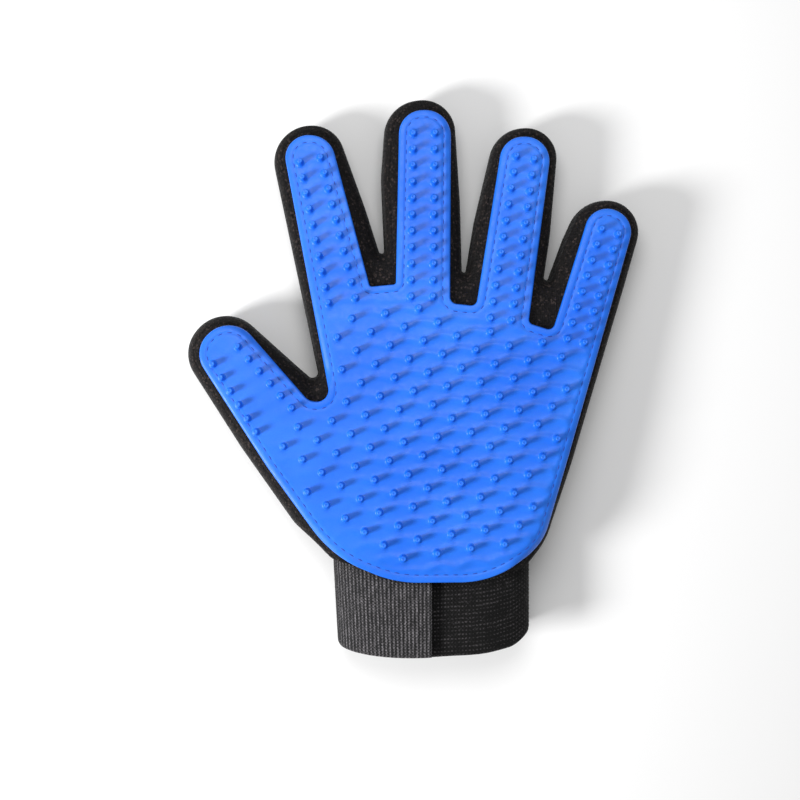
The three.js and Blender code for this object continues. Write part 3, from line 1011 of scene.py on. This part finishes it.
def stitch_mesh(centre, along, points, faces):
    """Adds one stitch, a short thread that rises out of the pad and dives back into it."""
    around, steps = 6, 6
    side = np.array([-along[1], along[0]])
    first = len(points)
    offsets = [(k / steps - 0.5) * STITCH_LENGTH for k in range(steps + 1)]
    spine = np.array([centre + along * offset for offset in offsets])
    heights = pad_surface(spine)
    for spot, height, offset in zip(spine, heights, offsets):
        share = 1 - (2 * offset / STITCH_LENGTH) ** 2  # 0 at the ends and 1 in the middle
        radius = STITCH_RADIUS * (0.45 + 0.55 * math.sqrt(max(share, 0)))
        middle = height - STITCH_SUNK + STITCH_ARCH * share
        for k in range(around):
            angle = 2 * math.pi * k / around
            flat = spot + side * radius * math.cos(angle)
            points.append((flat[0], flat[1], middle + radius * 0.8 * math.sin(angle)))
    for row in range(steps):
        for k in range(around):
            j = (k + 1) % around
            low = first + row * around
            faces.append((low + k, low + j, low + around + j, low + around + k))
    faces.append(tuple(first + k for k in range(around))[::-1])
    faces.append(tuple(first + steps * around + k for k in range(around)))


def make_stitching():
    ring = pad_outline.ring(STITCH_INSET)
    closed = np.vstack([ring, ring[:1]])
    lengths = path_lengths(closed)
    count = round(lengths[-1] / STITCH_PITCH)
    at = np.arange(count) * lengths[-1] / count
    reach = STITCH_LENGTH / 4

    def along_ring(at):
        return on_path(at % lengths[-1], lengths, closed)

    centres = along_ring(at)
    directions = unit(along_ring(at + reach) - along_ring(at - reach))
    regions = region_of(centres)
    for region in sorted(set(regions)):
        points, faces = [], []
        for centre, direction in zip(centres[regions == region], directions[regions == region]):
            stitch_mesh(centre, direction, points, faces)
        piece = make_object(f"stitching_{region}", np.array(points), faces, None, THREAD)
        follow(piece, region)


# ---- Palm fabric and mesh back ----


def heel_slant(spots):
    """How far the fabric under the pad's heel is moved when it leans."""
    return strap_slant(spots[:, 0], fabric_top(spots[:, 1]))


def moved_along_y(spots, shift):
    return np.column_stack([spots[:, 0], spots[:, 1] + shift])


def wrist_line(spacing):
    return split(np.array([(-60, WRIST_CUT), (60, WRIST_CUT)], float), spacing)


def make_palm_fabric():
    steps = [0, 0.2, 0.5, 0.9, 1.5, 1.95, 2.2, 2.4, 2.6, 2.85, 3.3, 4.4, 6.2, 8.4]
    insets = [SEAM_INSET + step for step in steps]
    loops = [glove_outline.ring(inset) for inset in insets]
    ring = pad_outline.ring(HEEL_INSET)
    heel = moved_along_y(ring, -heel_slant(ring))  # where it lies on the plan, before the fabric leans
    heel = heel[heel[:, 1] < WRIST_CUT]
    lines = cut_lines(2.5) + [wrist_line(2.5), heel[np.argsort(heel[:, 0])]]
    grid = inner_grid(glove_outline, lines, spacing=3.0, least=insets[-1] + 1.2, gap=1.5)

    def inside(centres):
        depth, _, _ = glove_outline.locate(centres)
        under_pad, _, _ = pad_outline.locate(moved_along_y(centres, heel_slant(centres)))
        return (depth > SEAM_INSET) & ((centres[:, 1] > WRIST_CUT) | (under_pad > HEEL_INSET))

    spots, faces, _ = triangulate(loops, lines, grid, inside)
    depth, _, _ = glove_outline.locate(spots)
    outer = leaning(np.column_stack([spots, outer_surface(spots, depth)]))
    layer = Layer(spots, faces, outer, outer - vertex_normals(outer, faces) * FABRIC_THICKNESS)
    place_layer(layer, ("palm_fabric_knit", "palm_fabric"), KNIT, outer)


def back_surface(spots):
    """The mesh back's outer side, and the cloth's own coordinates.

    Inside the silhouette it lies under the hand, and the band outside it wraps up to the seam."""
    depth, foot, normal = glove_outline.locate(spots)
    inside = np.maximum(depth, 0)
    low = SIDE_HEIGHT * (1 - bulge(inside, BOTTOM_REACH, BOTTOM_POWER))
    top_turn = math.acos((1 - SEAM_INSET / TOP_REACH) ** (TOP_POWER / 2))
    turn = top_turn * np.clip(-depth / BAND, 0, 1)
    fold_in = TOP_REACH * (1 - np.cos(turn) ** (2 / TOP_POWER))
    plan = np.where((depth < 0)[:, None], foot - normal * fold_in[:, None], spots)
    side = np.sin(turn) ** (2 / TOP_POWER)
    groove = SEAM_GROOVE * fade(turn / top_turn, 0.75, 1)
    high = SIDE_HEIGHT + (fabric_top(plan[:, 1]) - SIDE_HEIGHT) * side - groove
    height = np.where(depth < 0, high, low)
    unrolled = spots + normal * (height * 0.8 * fade(depth, BOTTOM_REACH, 0))[:, None]
    return leaning(np.column_stack([plan, height])), np.column_stack([unrolled, np.zeros(len(spots))])


def make_mesh_back():
    turns = [math.radians(a) for a in (0, 14, 28, 42, 56, 72, 90)]
    insets = [BOTTOM_REACH * (1 - math.cos(t) ** (2 / BOTTOM_POWER)) for t in turns]
    bands = [-BAND * share for share in (1, 0.8, 0.6, 0.4, 0.2)]
    loops = [glove_outline.ring(inset) for inset in bands + insets]
    lines = cut_lines(2.2) + [wrist_line(2.2)]
    grid = inner_grid(glove_outline, lines, spacing=3.0, least=insets[-1] + 1.2, gap=1.5)

    def inside(centres):
        depth, _, _ = glove_outline.locate(centres)
        return (depth > -BAND) & (centres[:, 1] > WRIST_CUT)

    spots, faces, _ = triangulate(loops, lines, grid, inside)
    outer, cloth = back_surface(spots)
    downward = faces[:, ::-1]  # seen from below, the outer side is the upper one
    inner = outer - vertex_normals(outer, downward) * MESH_THICKNESS
    layer = Layer(spots, faces, inner, outer, cloth)
    place_layer(layer, ("mesh_back_air", "mesh_back"), SPACER_MESH, outer)


# ---- Wrist ----


class Oval:
    """The strap's oval, from the middle of its top by way of the thumb's side, as a path with normals."""

    def __init__(self, step=0.1):
        left, right, bottom, top = (STRAP[k] for k in ("left", "right", "bottom", "top"))
        turns = np.linspace(0, 2 * math.pi, 721) + math.pi / 2
        c, z = np.cos(turns), np.sin(turns)
        x = np.sign(c) * np.abs(c) ** (2 / OVAL_POWER) * (right - left) / 2 + (right + left) / 2
        z = np.sign(z) * np.abs(z) ** (2 / OVAL_POWER) * (top - bottom) / 2 + STRAP_MIDDLE
        points = np.column_stack([x, z])
        ahead = unit(np.roll(points[:-1], -1, axis=0) - np.roll(points[:-1], 1, axis=0))
        normals = np.column_stack([ahead[:, 1], -ahead[:, 0]])
        normals = np.vstack([normals, normals[:1]])
        lengths = path_lengths(points)
        self.length = lengths[-1]
        self.at = np.arange(0, self.length, step)
        self.points = on_path(self.at, lengths, points)
        self.normals = unit(on_path(self.at, lengths, normals))

    def top_at(self, x):
        """How far along the path its upper side reaches x."""
        upper = self.points[:, 1] > STRAP_MIDDLE
        return self.at[np.argmin(np.where(upper, np.abs(self.points[:, 0] - x), np.inf))]

    def left_at(self, z):
        """How far along the path its thumb side comes down to z."""
        lefts = self.points[:, 0] < 0
        return self.at[np.argmin(np.where(lefts, np.abs(self.points[:, 1] - z), np.inf))]

    def sample(self, at):
        """Points and normals at distances along the path, which goes on round past its end."""
        at = at % self.length
        return on_path(at, self.at, self.points), unit(on_path(at, self.at, self.normals))


oval = Oval()


def band(name, depth, thickness, start, end, edges, step, rows, relief, material, closed=False):
    """A band round part of the oval, between two distances along it, divided into rows and steps.

    depth gives how far below the oval its outer face is, edges its first and last Y, and relief how far the
    outer face stands out. A closed band goes all round."""
    columns = max(3, math.ceil((end - start) / step))
    count = columns if closed else columns + 1
    at = start + (end - start) * np.arange(count) / columns
    places, normals = oval.sample(at)
    depth = depth(places)[:, None]
    first, last = edges(places - normals * depth)
    share = np.linspace(0, 1, rows + 1)
    y = first[:, None] + (last - first)[:, None] * share[None]
    raised = relief(at[:, None], y - last[:, None], (first - last)[:, None])
    faces, points, cloth = [], [], []
    for inset in (depth - raised, depth + thickness + 0 * y):
        x = places[:, :1] - normals[:, :1] * inset
        x = x * np.where(x < 0, 1 - STRAP_TAPER * (STRAP_START - y) / STRAP_WIDTH, 1)
        z = places[:, 1:] - normals[:, 1:] * inset
        points.append(np.stack([x, y, z], axis=-1).reshape(-1, 3))
        cloth.append(np.stack([at[:, None] + 0 * y, y - last[:, None], inset], axis=-1).reshape(-1, 3))
    size = count * (rows + 1)

    def node(side, column, row):
        return side * size + (column % count) * (rows + 1) + row

    for c in range(columns):
        for r in range(rows):
            quad = [node(0, c, r), node(0, c + 1, r), node(0, c + 1, r + 1), node(0, c, r + 1)]
            faces += [quad[::-1], [v + size for v in quad]]
        for r in (0, rows):
            faces.append([node(0, c, r), node(0, c + 1, r), node(1, c + 1, r), node(1, c, r)])
    if not closed:
        for c in (0, columns):
            for r in range(rows):
                faces.append([node(0, c, r), node(0, c, r + 1), node(1, c, r + 1), node(1, c, r)])
    piece = make_object(name, np.concatenate(points), faces, None, material, np.concatenate(cloth))
    finish_band(piece)
    return piece


def finish_band(piece, angle=50):
    """Turns the faces outward, and keeps the band's edges crisp."""
    mesh = piece.data
    b = bmesh.new()
    b.from_mesh(mesh)
    bmesh.ops.recalc_face_normals(b, faces=b.faces)
    b.to_mesh(mesh)
    b.free()
    mesh.set_sharp_from_angle(angle=math.radians(angle))


def strap_edges(margin_first=0.0, margin_last=0.0, heel=False):
    """The strap's slanting edges, with its palm side cut back along the pad's heel if asked."""
    ring = pad_outline.ring(-HEEL_GAP)
    low = ring[ring[:, 1] < HEEL_Y]
    low = low[np.argsort(low[:, 0])]

    def edges(places):
        x, z = places[:, 0], places[:, 1]
        first = STRAP_START + strap_slant(x, z) - margin_first
        bow = STRAP_BOW[0] * x + STRAP_BOW[1] * x**2 + STRAP_CORNER * fade(x, *STRAP_CORNER_X)
        last = STRAP_START - STRAP_LEAN * (z - STRAP_MIDDLE) - STRAP_WIDTH + margin_last + bow
        if heel:
            curve = np.interp(x, low[:, 0], low[:, 1], left=0, right=0)
            first = np.where(z > STRAP_MIDDLE, np.minimum(first, curve), first)
        return first, last

    return edges


def even(depth):
    """A band that lies equally deep under the oval all round."""
    return lambda places: np.full(len(places), float(depth))


def rising(depth):
    """A band that comes out where the tab doesn't cover it, and further at the little finger's side."""
    def at(places):
        high = fade(places[:, 1], *ELASTIC_OUT_Z)
        out = (depth - ELASTIC_DEPTH) * fade(places[:, 0], *ELASTIC_OUT_X)
        return depth - (out + ELASTIC_BULGE * fade(places[:, 0], *ELASTIC_BULGE_X)) * high
    return at


# A relief is given places round the wrist, how far they are from the band's arm edge, and its width there.


def plain(at, up, width):
    return np.zeros(np.broadcast(at, up).shape)


def rounded_edges(up, width, depth, reach):
    return depth * (1 - np.clip(np.minimum(up, width - up) / reach, 0, 1)) ** 2


def tab_ribs(at, up, width):
    """Upright ribs that end just inside both edges."""
    phase = 2 * np.pi * at / TAB_RIB_PITCH
    rib = TAB_RIB * np.cos(phase) + TAB_FINE_RIB * np.cos(2 * phase)
    inner = fade(np.minimum(up, width - up), 0, 1.5)
    return rib * inner - rounded_edges(up, width, 0.35, 0.7)


def elastic_rows(at, up, width):
    """Rows that run round the wrist, a little gathered."""
    row = ELASTIC_ROW * np.cos(2 * np.pi * up / ELASTIC_ROW_PITCH)
    gather = ELASTIC_GATHER * np.sin(2 * np.pi * at / 3.1) * np.sin(2 * np.pi * up / 3.8)
    return row + gather - ELASTIC_SUNK - rounded_edges(up, width, 0.4, 0.8)


def place_band(piece, body, node):
    """Puts a band in a CAD node's place, on its body."""
    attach(piece, body)
    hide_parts(node)


def make_wrist():
    hook_depth = TAB_THICKNESS + STRAP_GAP
    loop_depth = hook_depth + HOOK_THICKNESS + STRAP_GAP
    elastic_depth = loop_depth + LOOP_THICKNESS + STRAP_GAP
    lining_depth = elastic_depth + ELASTIC_THICKNESS + LAYER_GAP

    free, root = oval.top_at(TAB_FREE_END), oval.left_at(TAB_ROOT_HEIGHT)
    edges = strap_edges(heel=True)
    look = {"relief": tab_ribs, "material": TAB_WEB}
    tab = band("tab", even(0), TAB_THICKNESS, free, root, edges, step=0.3, rows=60, **look)
    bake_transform(tab)
    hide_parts("strap_tab", "strap_tab_root")

    start, end = oval.top_at(TAB_FREE_END - PATCH_MARGIN), oval.top_at(ELASTIC_END + PATCH_MARGIN)
    edges = strap_edges(PATCH_MARGIN, PATCH_MARGIN, heel=True)
    grain = {"step": 0.8, "rows": 40, "relief": plain}
    depth = even(hook_depth)
    hooks = band("hook_tape", depth, HOOK_THICKNESS, start, end, edges, material=HOOKS, **grain)
    place_band(hooks, "strap_tab", "hook_patch")

    edges = strap_edges(PATCH_MARGIN, PATCH_MARGIN)
    depth = even(loop_depth)
    loops = band("loop_tape", depth, LOOP_THICKNESS, start, end, edges, material=LOOPS, **grain)
    place_band(loops, "palm", "loop_patch")

    start, end = oval.left_at(TAB_HINGE_HEIGHT) + 0.3, oval.length + oval.top_at(ELASTIC_END)
    elastic = band(
        "elastic_band", rising(elastic_depth), ELASTIC_THICKNESS, start, end,
        strap_edges(0, -ELASTIC_NARROWER), step=0.45, rows=120, relief=elastic_rows, material=ELASTIC_WEB,
    )
    place_band(elastic, "palm", "elastic_strap")

    lining = band(
        "wrist_lining_knit", even(lining_depth), LINING_THICKNESS, 0, oval.length,
        strap_edges(-LINING_REACH, PATCH_MARGIN), step=1.5, rows=24, relief=plain, material=LINING,
        closed=True,
    )
    place_band(lining, "palm", "wrist_lining")


# ---- Assembly ----

make_camera()
make_studio()
make_pad()
make_stitching()
make_palm_fabric()
make_mesh_back()
make_wrist()
